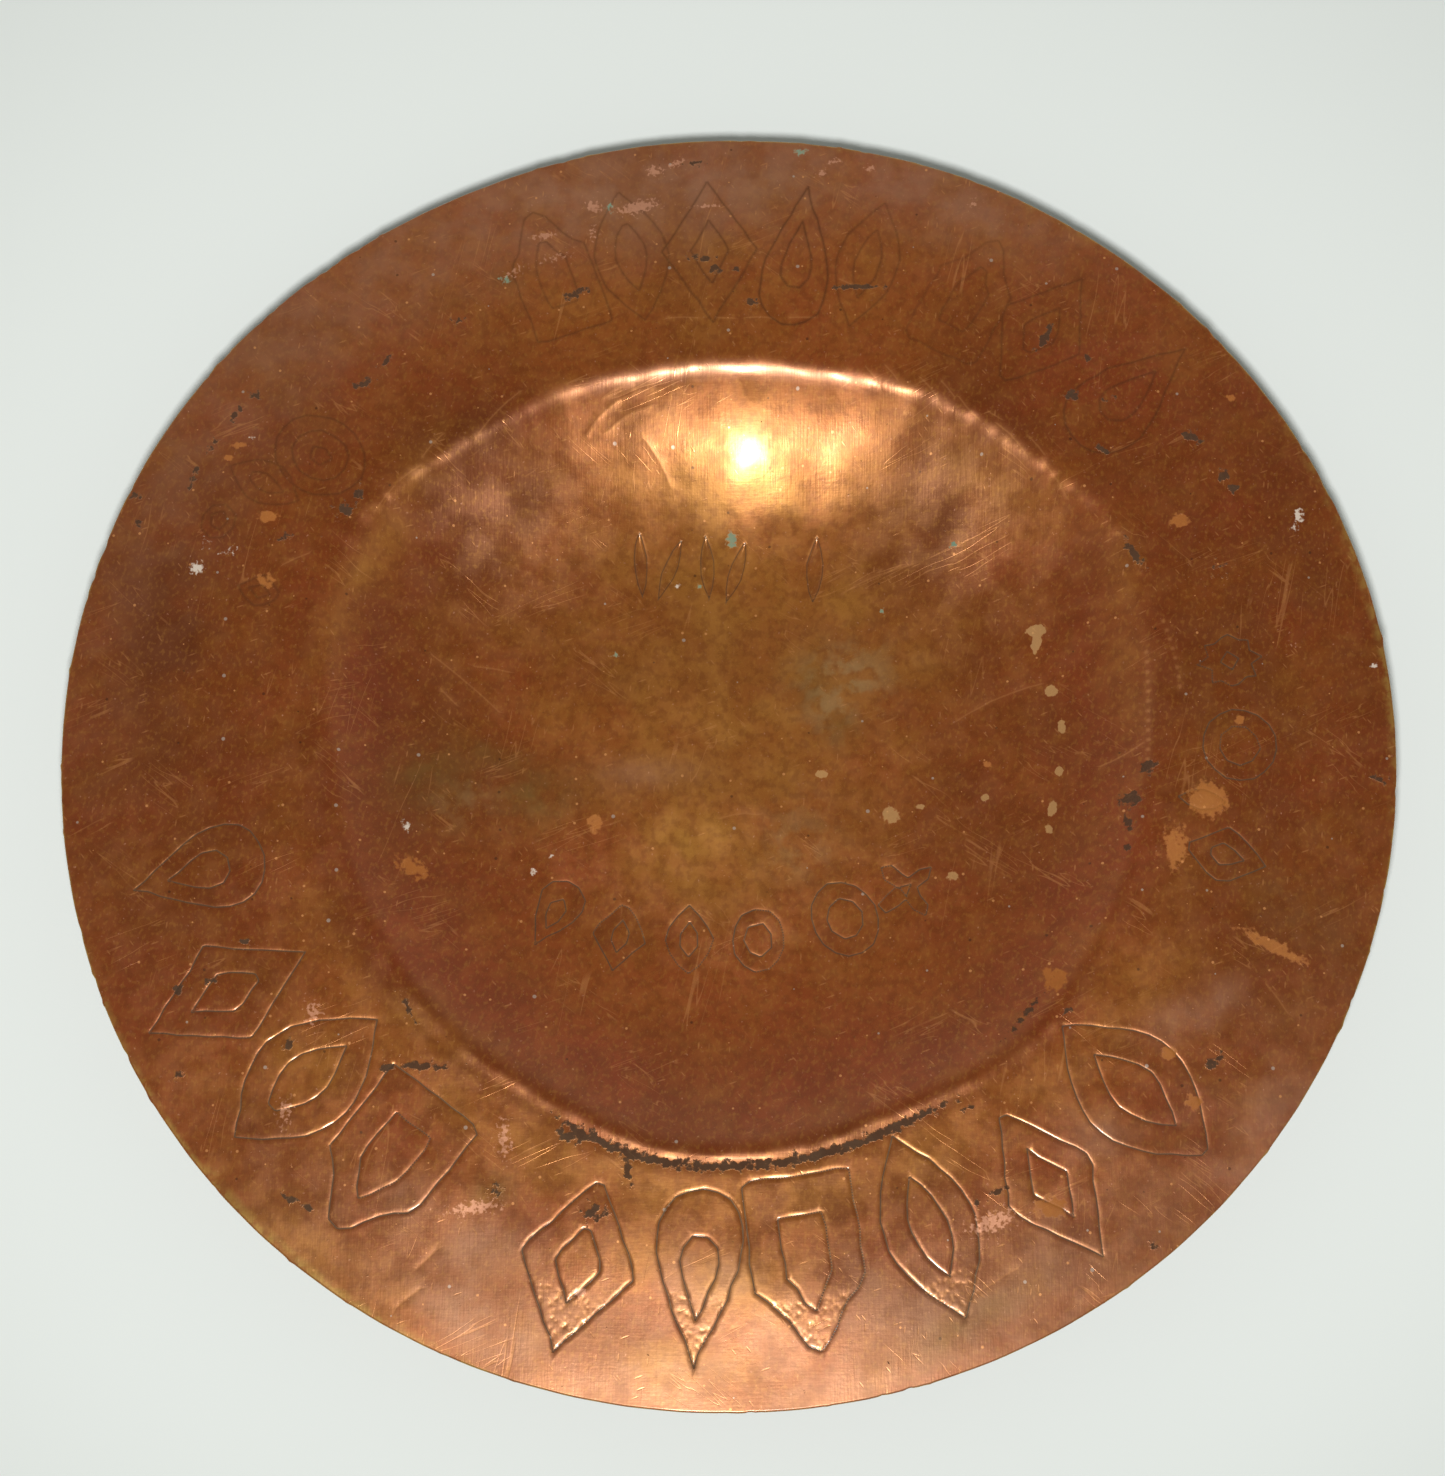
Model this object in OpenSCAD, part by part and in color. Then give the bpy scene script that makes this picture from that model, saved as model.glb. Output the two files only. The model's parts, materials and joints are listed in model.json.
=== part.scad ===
// Hand-raised copper tray: one disc of sheet copper, sunk in the middle to a
// shallow round well and left flat around it as a wide rim.
// Millimetres, +Z up. The origin is under the centre of the disc, on the plane
// that the underside of the well stands on.

/* [Sheet] */
// Diameter of the cut disc
disc_d = 304.8; // [250:0.1:360]
// Thickness of the copper sheet
sheet_t = 0.9; // [0.7:0.05:1.2]

/* [Well] */
// Radius of the well at the outer end of its lip, where the flat rim begins
well_r = 98; // [85:0.5:110]
// Steepest slope of the well's wall, in degrees
wall_slope = 35; // [25:1:38]
// Bend radius of the wall as it runs down into the floor
wall_bend_r = 82; // [60:1:90]
// Bend radius of the lip as it rolls over from the wall to the rim
lip_bend_r = 9; // [4:0.5:14]
// How far the well was sunk to the right of the disc's centre
well_shift = 3; // [0:0.5:6]

/* [Colour] */
// Colour of the aged copper
copper = "#8a5230"; // ["#8a5230":aged, "#b87350":bright]

/* [Hidden] */
$fn = 180;
disc_r = disc_d / 2;
floor_r = well_r - (wall_bend_r + lip_bend_r) * sin(wall_slope);
well_depth = (wall_bend_r + lip_bend_r) * (1 - cos(wall_slope));
// Far enough past every edge to cut it cleanly
spare = 5;

// A ring of the sheet's own thickness, seen in section, between two angles.
module bend(outer_r, from_angle, to_angle) {
    reach = 2 * outer_r;
    intersection() {
        difference() {
            circle(r = outer_r);
            circle(r = outer_r - sheet_t);
        }
        polygon([
            [0, 0],
            [reach * cos(from_angle), reach * sin(from_angle)],
            [reach * cos(to_angle), reach * sin(to_angle)]
        ]);
    }
}

// Half of the sheet in section: floor, wall, lip and rim, from the axis outwards.
module sheet_section() {
    square([floor_r, sheet_t]);
    translate([floor_r, sheet_t + wall_bend_r])
        bend(wall_bend_r + sheet_t, -90, wall_slope - 90);
    translate([well_r, sheet_t + well_depth - lip_bend_r])
        bend(lip_bend_r, 90, 90 + wall_slope);
    translate([well_r, well_depth])
        square([disc_r + well_shift + spare - well_r, sheet_t]);
}

// The tray: the section turned about the well's axis, then cut to the round disc.
module tray() {
    color(copper)
        intersection() {
            translate([well_shift, 0, 0])
                rotate_extrude()
                    sheet_section();
            translate([0, 0, -spare])
                cylinder(r = disc_r, h = well_depth + sheet_t + 2 * spare);
        }
}

tray();
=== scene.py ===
"""The looks of a hand-beaten copper tray: one disc of sheet copper with a shallow round well in a wide rim.
It has chased outline motifs, hammer marks, a raw hand-cut edge and an old brown patina.

Lengths are in millimetres until the mesh is made, which is in metres. x and y are measured from the
centre of the disc, and z from the surface that the tray stands on. Angles are in degrees, anticlockwise
from +x."""

import json
import math

import bpy
import numpy as np
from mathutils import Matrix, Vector
from mathutils.geometry import delaunay_2d_cdt


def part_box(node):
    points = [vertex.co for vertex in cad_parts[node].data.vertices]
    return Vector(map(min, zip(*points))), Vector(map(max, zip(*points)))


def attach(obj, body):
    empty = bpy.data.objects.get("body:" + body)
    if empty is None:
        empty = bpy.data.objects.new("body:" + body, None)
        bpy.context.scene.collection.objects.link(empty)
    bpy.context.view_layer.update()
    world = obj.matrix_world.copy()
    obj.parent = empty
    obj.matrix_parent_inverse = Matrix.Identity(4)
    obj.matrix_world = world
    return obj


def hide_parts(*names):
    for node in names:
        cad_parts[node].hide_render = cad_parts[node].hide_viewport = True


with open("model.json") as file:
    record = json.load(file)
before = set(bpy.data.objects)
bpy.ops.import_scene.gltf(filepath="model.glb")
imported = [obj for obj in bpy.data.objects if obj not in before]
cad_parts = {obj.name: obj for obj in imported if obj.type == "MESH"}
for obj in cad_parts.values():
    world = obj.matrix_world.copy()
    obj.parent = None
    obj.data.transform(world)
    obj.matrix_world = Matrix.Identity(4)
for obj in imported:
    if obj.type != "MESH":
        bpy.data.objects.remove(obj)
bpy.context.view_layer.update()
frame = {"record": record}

MM = 0.001
SEED = 41

# ---------------------------------------------------------------- sizes, from the frame
tray_low, tray_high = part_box("tray")
mounts = {mount["name"]: mount for mount in frame["record"]["mounts"]}
DISC_R = (tray_high[0] - tray_low[0]) / 2 / MM
SHEET = mounts["well_floor"]["pos_m"][2] / MM
WELL_X = mounts["well_floor"]["pos_m"][0] / MM
DEPTH = tray_high[2] / MM - SHEET

# The CAD's section: a flat floor, a wall that curves up, and a lip that curves back to a level rim.
WELL_R = 98.0
WALL_BEND = 82.0
LIP_BEND = 9.0
WALL_SLOPE = math.acos(1 - DEPTH / (WALL_BEND + LIP_BEND))
FLOOR_R = WELL_R - (WALL_BEND + LIP_BEND) * math.sin(WALL_SLOPE)
BEVEL = 0.14

# Distances between the points of the mesh, and the border inside the edge that only its own points enter
TOP_STEP = 1.75
LIP_STEP = 1.0
BACK_STEP = 2.9
BACK_LIP_STEP = 1.7
EDGE_STEP = 0.7
LINE_STEP = 0.62
BORDER = 0.9

# ---------------------------------------------------------------- chased work
# Lines no deeper than this are worn faint, and those deeper than RIDGE_DEPTH show on the back.
FAINT_DEPTH = 0.1
RIDGE_DEPTH = 0.15
# Motifs on the rim: kind, angle round the disc, distance from its centre, width, height, groove depth.
# Those deeper than FAINT_DEPTH come first, because their bands are looked up by their place in this list.
RIM_MOTIFS = [
    ("drop", -164, 124, 24, 30, 0.15), ("lozenge", -151, 127, 24, 38, 0.19),
    ("leaf", -139, 123, 24, 40, 0.19), ("niche", -127, 124, 24, 36, 0.17),
    ("lozenge", -105, 125, 26, 38, 0.22), ("drop", -93, 124, 23, 38, 0.22),
    ("niche", -82, 122, 24, 38, 0.22), ("leaf", -69, 121, 20, 42, 0.20),
    ("lozenge", -56, 125, 22, 38, 0.18), ("leaf", -43, 122, 25, 42, 0.18),
    ("star", 8, 117, 15, 15, 0.11), ("ring", -2, 117, 17, 17, 0.11), ("blade", -9, 109, 5, 11, 0.11),
    ("lozenge", -15, 116, 14, 19, 0.11), ("niche", 110, 124, 19, 35, 0.07),
    ("leaf", 101, 123, 18, 36, 0.07), ("lozenge", 92, 122, 23, 38, 0.09),
    ("drop", 82, 122, 20, 38, 0.10), ("leaf", 74, 123, 15, 34, 0.07), ("niche", 62, 124, 19, 33, 0.06),
    ("lozenge", 53, 125, 22, 34, 0.07), ("drop", 41, 127, 24, 36, 0.08),
    ("eye", 145, 118, 19, 23, 0.07), ("leaf", 151, 125, 11, 19, 0.06), ("ring", 157, 130, 9, 8, 0.06),
    ("lozenge", 163, 114, 9, 11, 0.07),
]
# Motifs on the floor of the well: kind, x, y, width, height, turn, groove depth.
WELL_MOTIFS = [
    ("drop", -40, -40, 13, 17, 150, 0.11), ("lozenge", -25, -45, 13, 17, 170, 0.11),
    ("leaf", -9, -46, 11, 16, 180, 0.13), ("ring", 7, -46, 12, 15, 180, 0.13),
    ("ring", 27, -41, 15, 18, 25, 0.11), ("petal", 41, -34, 16, 16, 40, 0.11),
]
# Solid sunk cuts on the floor: x, y, width, height, turn.
WELL_CUTS = [
    (-21, 47, 3.2, 16, 4), (-14, 46, 3.2, 16, -20), (-5, 47, 3.4, 16, 3), (2, 46, 3.4, 16, -18),
    (21, 46, 4, 16, -4),
]
# Scratches deep enough to feel: start x, y, end x, y, bow.
SCRATCHES = [
    (-70, 22, -54, 9, 0.4), (-67, 13, -64, 10, 0.1), (-60, 20, -52, 19, 0.3), (54, 7, 74, 15, 1.2),
    (86, -7, 95, -3, -0.4), (-67, -122, -63, -118, 0.1), (-71, -130, -66, -126, 0.1),
    (-2, -17, 7, -16, 0.7), (52, -128, 62, -122, 0.2), (-60, 72, -50, 84, 0.8), (28, 40, 44, 46, 0.8),
    (-104, 40, -98, 43, 0.2), (120, -60, 124, -66, 0.2), (-14, 66, -20, 76, -0.6),
    (-14, 104, -8, 104, 0.1), (-3, 104, 1, 104, 0.1), (5, 104, 11, 104, 0.2), (15, 104, 21, 104, 0.1),
    (27, 114, 31, 112, 0.2), (33, 91, 37, 85, 0.3), (38, 91, 41, 87, 0.1), (46, 88, 51, 81, 0.4),
    (51, 87, 54, 83, 0.1), (55, 83, 60, 77, -0.3), (62, 79, 65, 77, 0.1), (64, 76, 71, 68, 0.5),
    (72, 72, 75, 68, 0.1), (75, 66, 80, 58, 0.3), (-72, 68, -68, 73, 0.2), (-77, 62, -73, 65, 0.1),
    (-83, 54, -79, 60, 0.2), (-30, 84, -12, 90, 1.6), (-31, 80, -16, 87, 1.4), (-29, 77, -19, 83, 0.8),
    (-34, 76, -26, 84, 0.7),
]
# Rows of small blows along the lip: start x, y, end x, y, bow.
BLOW_ROWS = [
    (97, 19, 96, -7, 0.3), (101, 26, 104, 10, 0.6),
]
BLOW_GAP = 2.3
# Size and depth of the blows along the lip, and of those that fill the stippled bands.
LIP_BLOW = (0.55, 0.07)
STIPPLE_BLOW = (0.38, 0.03)
STIPPLE_TRIES = 340
# Motifs whose bands are stippled: angle round the disc, and the share of the band from its outer end.
STIPPLED = [(-105, 0.34), (-93, 0.42), (-82, 0.30), (-69, 0.24)]

# ---------------------------------------------------------------- marks of age, with painted shade and painted highlights
# Each patch is x, y, half-length, half-width, turn, strength.
PATCHES = {
    "crust": [
        (-87, 86, 3, 1, 20, 1), (-82, 92, 2.5, 0.8, 45, 0.8), (-113, 83, 1.4, 1.1, 0, 1),
        (-117, 78, 2.2, 1, 60, 0.9), (-122, 70, 2.8, 0.8, 60, 0.8), (-126, 62, 3.2, 0.8, 75, 0.8),
        (-139, 57, 1.6, 0.9, 30, 0.9), (-138, 50, 1.4, 0.8, -20, 0.9), (-90, 54, 2.2, 1.6, 10, 1),
        (-87, 58, 2.4, 1, 80, 0.9), (-104, 47, 2, 1.2, 10, 0.8), (-64, 103, 2.6, 1.1, 0, 0.7),
        (-33, -93, 4.2, 1.6, 0, 1.1), (-68, -78, 5.5, 1, -4, 1), (-75, -78, 1.6, 1.3, 0, 1),
        (-97, -73, 1.4, 1, 40, 1), (-121, -80, 1.6, 1, 20, 0.8), (-95, -107, 2.2, 0.9, -30, 0.9),
        (-91, -109, 1.6, 0.8, -20, 0.8), (-71, -65, 4.5, 0.7, -60, 0.7), (-122, -61, 1.2, 1.8, 0, 0.9),
        (-115, -59, 1.6, 1, 20, 0.8), (-108, -50, 1.3, 0.8, 0, 0.8), (-29, -110, 2.6, 2, 0, 0.9),
        (-22, -101, 1, 4, 8, 1), (-51, -105, 2, 1.6, 0, 0.7), (53, -87, 3.5, 0.6, 20, 0.7),
        (66, -66, 8, 0.8, 50, 0.8), (107, -77, 2.6, 1, 40, 1), (75, -66, 1.2, 0.8, 30, 0.8),
        (54, -108, 0.7, 1.4, 0, 1), (59, -105, 2.4, 0.7, 25, 0.8), (92, -117, 1.1, 0.8, -30, 0.9),
        (96, -9, 1.6, 1.8, 0, 1.1), (92, -16, 2.2, 1.8, 20, 1.2), (91, -22, 1.2, 2.4, 10, 0.9),
        (90, -28, 1, 1.6, 0, 0.7), (148, -12, 2.4, 1, -20, 0.9), (-8, 146, 2.6, 0.9, 0, 0.7),
        (-37, 110, 3.6, 1.2, 25, 0.9), (-6, 120, 4, 0.9, 0, 0.8), (-3, 117, 1.4, 1.5, 0, 1),
        (2, 117, 1.4, 1, 0, 0.8), (6, 108, 2, 1.3, 0, 0.8), (31, 112, 5.5, 0.8, 0, 1),
        (76, 98, 4, 0.9, 60, 1.1), (82, 83, 1.6, 1.4, 0, 1.1), (86, 93, 1, 0.9, 0, 0.9),
        (110, 72, 2.4, 1.3, -20, 1.1), (117, 62, 1.3, 1.2, 0, 1.1), (119, 59, 1.3, 1, 0, 1),
        (95, 43, 4.2, 0.9, -58, 1.1), (89, 69, 2, 0.8, -30, 0.9), (91, 82, 1.8, 0.7, 10, 0.8),
        (114, 39, 3, 2.4, 0, 0.5),
    ],
    "ochre": [
        (-116, 70, 1.4, 0.8, 20, 1), (-118, 67, 1, 0.8, 0, 0.9), (-108, 52, 2.2, 1.4, 0, 1.1),
        (-108, 36, 2.4, 2, 0, 0.7), (73, -58, 2.4, 2.8, 20, 1), (70, -109, 3.2, 2.2, 0, 1),
        (102, -86, 1.7, 1.5, 0, 1), (97, -75, 1.6, 1.4, 0, 0.9), (122, -51, 9, 1.6, -28, 0.8),
        (109, -17, 3.8, 3.4, 0, 1.2), (101, -28, 3, 5, 0, 0.8), (117, 2, 1.2, 1, 0, 1),
        (106, 51, 1.9, 1.6, 0, 1.1), (120, 82, 1.1, 0.9, 0, 0.9), (-31, -18, 1.6, 2.2, 0, 0.9),
        (-72, -31, 4.5, 2.4, -30, 0.8), (61, -4, 1, 0.9, 0, 0.8),
    ],
    "drip": [
        (73, 28, 2, 1.3, 0, 1.2), (73, 25, 1, 2.2, -12, 1.2), (76, 13, 1.3, 1.2, 0, 1.2),
        (78, 4, 0.8, 1.8, 0, 1.1), (77, -7, 0.8, 1.2, 0, 1.1), (75, -16, 0.9, 1.8, -10, 1.2),
        (74, -21, 0.8, 1.2, 10, 1), (38, -16, 2, 2.2, 20, 0.9), (22, -6, 1.5, 1, 0, 1),
        (60, -12, 1, 1, 0, 0.9), (45, -14, 1.1, 0.7, 0, 0.9), (52, -31, 1.8, 1.2, 0, 0.8),
    ],
    "salt": [
        (-124, 39, 1.5, 1.3, 30, 1.3), (-117, 43, 3.6, 1.8, 20, 0.55), (-122, 45, 1.6, 3, 10, 0.5),
        (134, 52, 1.4, 2, 0, 1), (133, 49, 1.6, 1.2, 0, 0.7), (149, 15, 1, 0.8, 0, 0.9),
        (-113, 72, 0.7, 0.6, 0, 1), (-74, -21, 0.9, 1.8, 15, 1), (-45, -30, 0.9, 0.8, 0, 1),
        (-41, -26, 0.8, 0.7, 0, 0.8), (-12, 42, 0.7, 0.6, 0, 1),
    ],
    # The bare patches on the near side are mostly painted glints; those on the far rim are bared copper.
    "bare_and_glints": [
        (-18, 144, 1.7, 1.3, 0, 1), (-13, 146, 2.4, 0.8, 25, 0.9), (-22, 134, 4.6, 1.5, 12, 1.1),
        (-33, 134, 1.8, 1.2, -20, 1.1), (-33, 127, 1, 2, 0, 0.8), (-45, 126, 2.8, 0.8, 10, 1),
        (26, 146, 1.6, 0.7, 15, 0.9), (23, 143, 1.3, 0.7, 30, 0.9), (35, 144, 1.4, 0.7, -10, 0.9),
        (-42, 120, 3.6, 1, 20, 0.6), (-5, 134, 3.6, 0.5, 0, 0.9), (60, 134, 1.4, 0.8, 40, 0.8),
        (-52, 116, 3, 1.2, 30, 0.6), (57, -112, 4.6, 1.8, 20, 1), (-55, -109, 5, 1.2, 10, 1),
        (-49, -94, 1.2, 4.4, 5, 0.9), (-32, -127, 1.4, 0.7, 10, 1.2), (-97, -88, 1.4, 3.2, 0, 0.8),
        (-92, -66, 1.6, 2.6, 0, 0.8), (131, 20, 1.4, 0.7, 0, 0.6),
    ],
    "haze": [
        (-53, -133, 15, 7, -25, 1), (-71, -110, 9, 8, 0, 0.4), (-52, -119, 9, 6, 0, 0.9),
        (104, -66, 10, 4, 25, 0.8), (117, -94, 8, 20, -38, 0.8), (80, -94, 8, 6, 0, 0.6),
        (84, -124, 12, 4, 35, 0.3), (-20, -6, 10, 3, 0, 0.5), (10, -135, 7, 5, 0, 0.8),
        (-6, -125, 9, 6, 0, 0.9), (-12, -142, 14, 5, 0, 0.9), (-20, 139, 64, 14, 8, 1),
        (50, 137, 34, 10, -22, 0.9), (-100, 104, 40, 6, 46, 0.5), (46, -133, 14, 5, 20, 0.8),
        (0, -148, 45, 3, 0, 0.5),
    ],
    "olive": [
        (-45, -12, 8, 6, 10, 0.9), (-54, -2, 9, 3, -20, 0.6), (-68, -9, 9, 7, 0, 0.8),
        (-54, 114, 3, 2.6, 0, 0.6), (26, 6, 4, 3.6, 0, 0.8), (20, 16, 3, 5, 0, 0.8),
        (-51, -105, 4, 3, 0, 0.8), (50, -134, 16, 3, 30, 0.6), (128, -44, 14, 8, -40, 0.3),
    ],
    "sage": [
        (28, 18, 9, 7, 20, 1), (24, 12, 5, 7, 0, 0.8), (16, -22, 7, 8, 0, 0.5),
        (-62, -14, 8, 5, 20, 0.4),
    ],
    "verdigris": [
        (1, 54, 1.2, 1.6, 0, 1.2), (-7, 42, 0.7, 0.7, 0, 1), (-54, 114, 1.6, 1.2, 0, 0.7),
        (18, 149, 2, 0.9, 10, 0.8), (54, 50, 0.9, 0.8, 0, 0.9), (37, 35, 0.6, 0.8, 0, 0.9),
        (-27, 24, 1, 0.8, 0, 0.7), (-29, 134, 1.2, 1.8, 0, 0.7),
    ],
    "red": [
        (88, -8, 7, 30, 8, 0.9), (74, -46, 8, 22, -38, 1), (20, -80, 40, 9, 10, 1.1),
        (-35, -74, 30, 9, -28, 1), (-72, -48, 8, 28, 40, 0.9), (-86, 5, 7, 40, 0, 0.7),
        (0, -62, 50, 14, 0, 0.6), (48, -8, 26, 14, 0, 0.5), (-50, -28, 22, 14, 0, 0.5),
        (100, 80, 40, 18, -40, 0.4),
    ],
    # Some umber patches are painted shade: the big ones at the left and right of the rim and at the upper
    # corners of the well.
    "umber_and_painted_shade": [
        (-118, 0, 40, 62, 0, 0.7), (112, 2, 44, 66, 0, 0.8), (62, 6, 26, 34, 0, 0.7),
        (-72, 0, 18, 44, 0, 0.7), (-128, 24, 18, 42, 0, 1.2), (-84, 8, 7, 38, 4, 1.4),
        (-112, 60, 20, 24, -40, 0.5), (128, 0, 14, 50, 0, 0.6), (84, 36, 10, 22, 20, 0.8),
        (78, 12, 8, 30, 0, 0.8), (132, 40, 14, 44, 16, 0.8), (-44, 50, 16, 12, 30, 0.8),
        (-60, 59, 18, 20, -30, 1.7), (53, 60, 15, 22, -24, 1.6), (-24, 80, 5, 9, 0, 0.6),
        (-50, 68, 12, 10, 30, 0.5), (54, 62, 14, 16, -30, 0.6), (58, -12, 16, 18, 0, 0.9),
        (-56, -4, 12, 8, 0, 0.8), (20, 30, 20, 8, -8, 0.5), (5, -6, 30, 8, 4, 0.5),
        (-30, 20, 18, 8, 0, 0.5), (50, 40, 26, 12, 20, 0.5), (-100, -96, 20, 9, -42, 0.5),
        (60, -90, 30, 10, 35, 0.3), (34, -128, 12, 10, 0, 1.5), (-68, -116, 10, 10, 0, 0.9),
        (64, -122, 26, 12, 28, 0.7), (-60, -112, 24, 14, -28, 0.6), (-30, -112, 26, 8, 0, 0.5),
        (20, -108, 30, 6, 0, 0.5), (-40, -143, 30, 5, 12, 0.6),
    ],
    # Some gold patches are painted glow: those below the highlight on the far wall and over the middle of
    # the well.
    "gold_and_painted_glow": [
        (-17, -120, 10, 7, 0, 0.6), (0, -125, 9, 6, 0, 1.1), (-9, -142, 9, 4, 0, 1.1),
        (-86, -123, 18, 6, -38, 0.6), (-92, -80, 8, 14, 30, 0.6), (-66, -72, 14, 4, -42, 0.6),
        (-2, -28, 14, 12, 0, 0.8), (6, -30, 30, 10, 0, 0.4), (-85, 40, 4, 26, -24, 0.7),
        (64, 62, 18, 6, -38, 0.5), (92, 20, 4, 20, 0, 0.5), (94, -58, 12, 8, 40, 0.5),
        (5, 66, 27, 15, 0, 1), (-8, -22, 14, 13, 0, 1.3), (-2, 47, 28, 12, 0, 0.9),
        (2, 8, 34, 42, 0, 0.8), (4, 38, 24, 20, 0, 0.9), (24, 34, 14, 12, 0, 0.9),
        (38, 24, 14, 12, 0, 0.6), (-10, 26, 30, 8, -6, 0.7), (24, 30, 20, 6, 10, 0.6),
        (-10, 116, 60, 20, 0, 0.35),
    ],
}
# Patches at least this narrow get mesh points of their own, this share of their half-width apart.
SMALL_PATCH = 2.6
PATCH_SHARE = 0.6
HIDDEN_MARKS = {"haze", "olive", "sage", "red", "umber_and_painted_shade", "gold_and_painted_glow"}


# ---------------------------------------------------------------- small helpers
def smooth(t):
    """Eases from 0 to 1 as t goes from 0 to 1."""
    t = np.clip(t, 0.0, 1.0)
    return t * t * (3 - 2 * t)


def bell(distance, width):
    """1 at distance 0, falling away over about width."""
    return np.exp(-((distance / width) ** 2))


def turned(points, degrees):
    """Points turned about the origin."""
    a = math.radians(degrees)
    c, s = math.cos(a), math.sin(a)
    return np.stack([c * points[:, 0] - s * points[:, 1], s * points[:, 0] + c * points[:, 1]], 1)


def polar(radius, degrees):
    """The place at a distance and an angle from the origin."""
    return radius * np.array([math.cos(math.radians(degrees)), math.sin(math.radians(degrees))])


def angle_gap(a, b):
    """The difference between two angles, from -180 to 180."""
    return (a - b + 180.0) % 360.0 - 180.0


def resample(line, step):
    """Points at even steps along a line of points."""
    along = np.concatenate([[0], np.cumsum(np.hypot(*np.diff(line, axis=0).T))])
    count = max(2, int(round(along[-1] / step)) + 1)
    at = np.linspace(0, along[-1], count)
    return np.stack([np.interp(at, along, line[:, 0]), np.interp(at, along, line[:, 1])], 1)


def bowed(x0, y0, x1, y1, bow):
    """Points along a shallow arc between two places, its middle bow to the left of the straight line."""
    t = np.linspace(0, 1, 20)
    side = np.array([-(y1 - y0), x1 - x0]) / math.hypot(x1 - x0, y1 - y0)
    line = np.stack([x0 + t * (x1 - x0), y0 + t * (y1 - y0)], 1)
    return line + (4 * bow * t * (1 - t))[:, None] * side


def waves(count, longest, size, seed):
    """A smooth random field, as a function of x and y: a sum of sine waves no longer than longest."""
    pick = np.random.default_rng(seed)
    ways = pick.uniform(0, 2 * math.pi, count)
    lengths = longest * pick.uniform(0.35, 1.0, count)
    phases = pick.uniform(0, 2 * math.pi, count)
    heights = size * pick.uniform(0.4, 1.0, count) / math.sqrt(count)

    def field(x, y):
        total = np.zeros_like(x)
        for way, length, phase, height in zip(ways, lengths, phases, heights):
            k = 2 * math.pi / length
            total += height * np.sin(k * (x * math.cos(way) + y * math.sin(way)) + phase)
        return total

    return field


def oval(x, y, cx, cy, half_long, half_wide, spin):
    """The square of each point's distance from the middle of a turned oval, which is 1 on its outline."""
    a = math.radians(spin)
    u = (x - cx) * math.cos(a) + (y - cy) * math.sin(a)
    v = -(x - cx) * math.sin(a) + (y - cy) * math.cos(a)
    return (u / half_long) ** 2 + (v / half_wide) ** 2


def spread(x, y, spots):
    """The strongest of some soft oval spots at each point, each at half its strength on its outline."""
    best = np.zeros_like(x)
    for *shape, strength in spots:
        best = np.maximum(best, strength * np.exp(-0.69 * oval(x, y, *shape)))
    return best


# ---------------------------------------------------------------- motifs
# An outline is in its motif's own frame: u across it and v up it, both from -1 to 1.
def closed(points):
    return np.concatenate([points, points[:1]])


def oval_ring(size_u, size_v):
    a = np.linspace(0, 2 * math.pi, 41)
    return np.stack([size_u * np.cos(a), size_v * np.sin(a)], 1)


def leaf_line(width, height, belly=0.0):
    """A leaf with a point at each end. belly moves its widest place up."""
    t = np.linspace(0, 1, 24)
    side = width * np.sin(math.pi * t ** (1 + belly))
    v = height * (2 * t - 1)
    right = np.stack([side, v], 1)
    left = np.stack([-side, v], 1)[::-1]
    return np.concatenate([right, left[1:]])


def drop_line(width, height):
    """A drop: round below and pointed above."""
    a = np.linspace(0, 2 * math.pi, 44)
    u = 1.15 * width * np.sin(a) * np.sin(a / 2) ** 1.5
    return np.stack([u, height * np.cos(a)], 1)


def lozenge_line(width, height):
    return closed(np.array([(0, height), (width, 0), (0, -height), (-width, 0)], float))


def star_line(outer, inner, points=8):
    a = np.arange(2 * points) * math.pi / points + math.pi / 2
    r = np.where(np.arange(2 * points) % 2 == 0, outer, inner)
    return closed(np.stack([r * np.cos(a), r * np.sin(a)], 1))


def petal_line(size, petals=4):
    a = np.linspace(0, 2 * math.pi, 60)
    r = size * (0.62 + 0.38 * np.cos(petals * a))
    return np.stack([r * np.cos(a), r * np.sin(a)], 1)


def niche_line(width, height, shoulder=0.25):
    """A niche: straight sides, a flat sill and a pointed, waisted head."""
    t = np.linspace(0, 1, 12)
    head_u = width * (1 - t) ** 0.7 * (1 - 0.25 * np.sin(math.pi * t))
    head_v = height * (shoulder + (1 - shoulder) * t)
    right = np.stack([head_u, head_v], 1)
    left = np.stack([-head_u, head_v], 1)[::-1]
    sill = np.array([(-width, -height), (width, -height)], float)
    return np.concatenate([right, left[1:], sill, right[:1]])


# The first outline of each motif is its outer edge, and the second, if any, is the inner edge of its band.
MOTIFS = {
    "leaf": [leaf_line(1.0, 1.0), leaf_line(0.42, 0.55)],
    "drop": [drop_line(1.0, 1.0), drop_line(0.45, 0.48)],
    "lozenge": [lozenge_line(1.0, 1.0), lozenge_line(0.42, 0.46)],
    "niche": [niche_line(1.0, 1.0), niche_line(0.42, 0.55)],
    "star": [star_line(1.0, 0.62), oval_ring(0.3, 0.3)],
    "petal": [petal_line(1.0), oval_ring(0.2, 0.2)],
    "ring": [oval_ring(1.0, 1.0), oval_ring(0.55, 0.55)],
    "eye": [oval_ring(1.0, 1.0), oval_ring(0.62, 0.62), oval_ring(0.25, 0.25)],
    "blade": [leaf_line(1.0, 1.0)],
}


# Length of one run of the chasing tool
TOOL_RUN = 3.2
# Stands for any distance to a line that is too long to matter
FAR = 99.0


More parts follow.
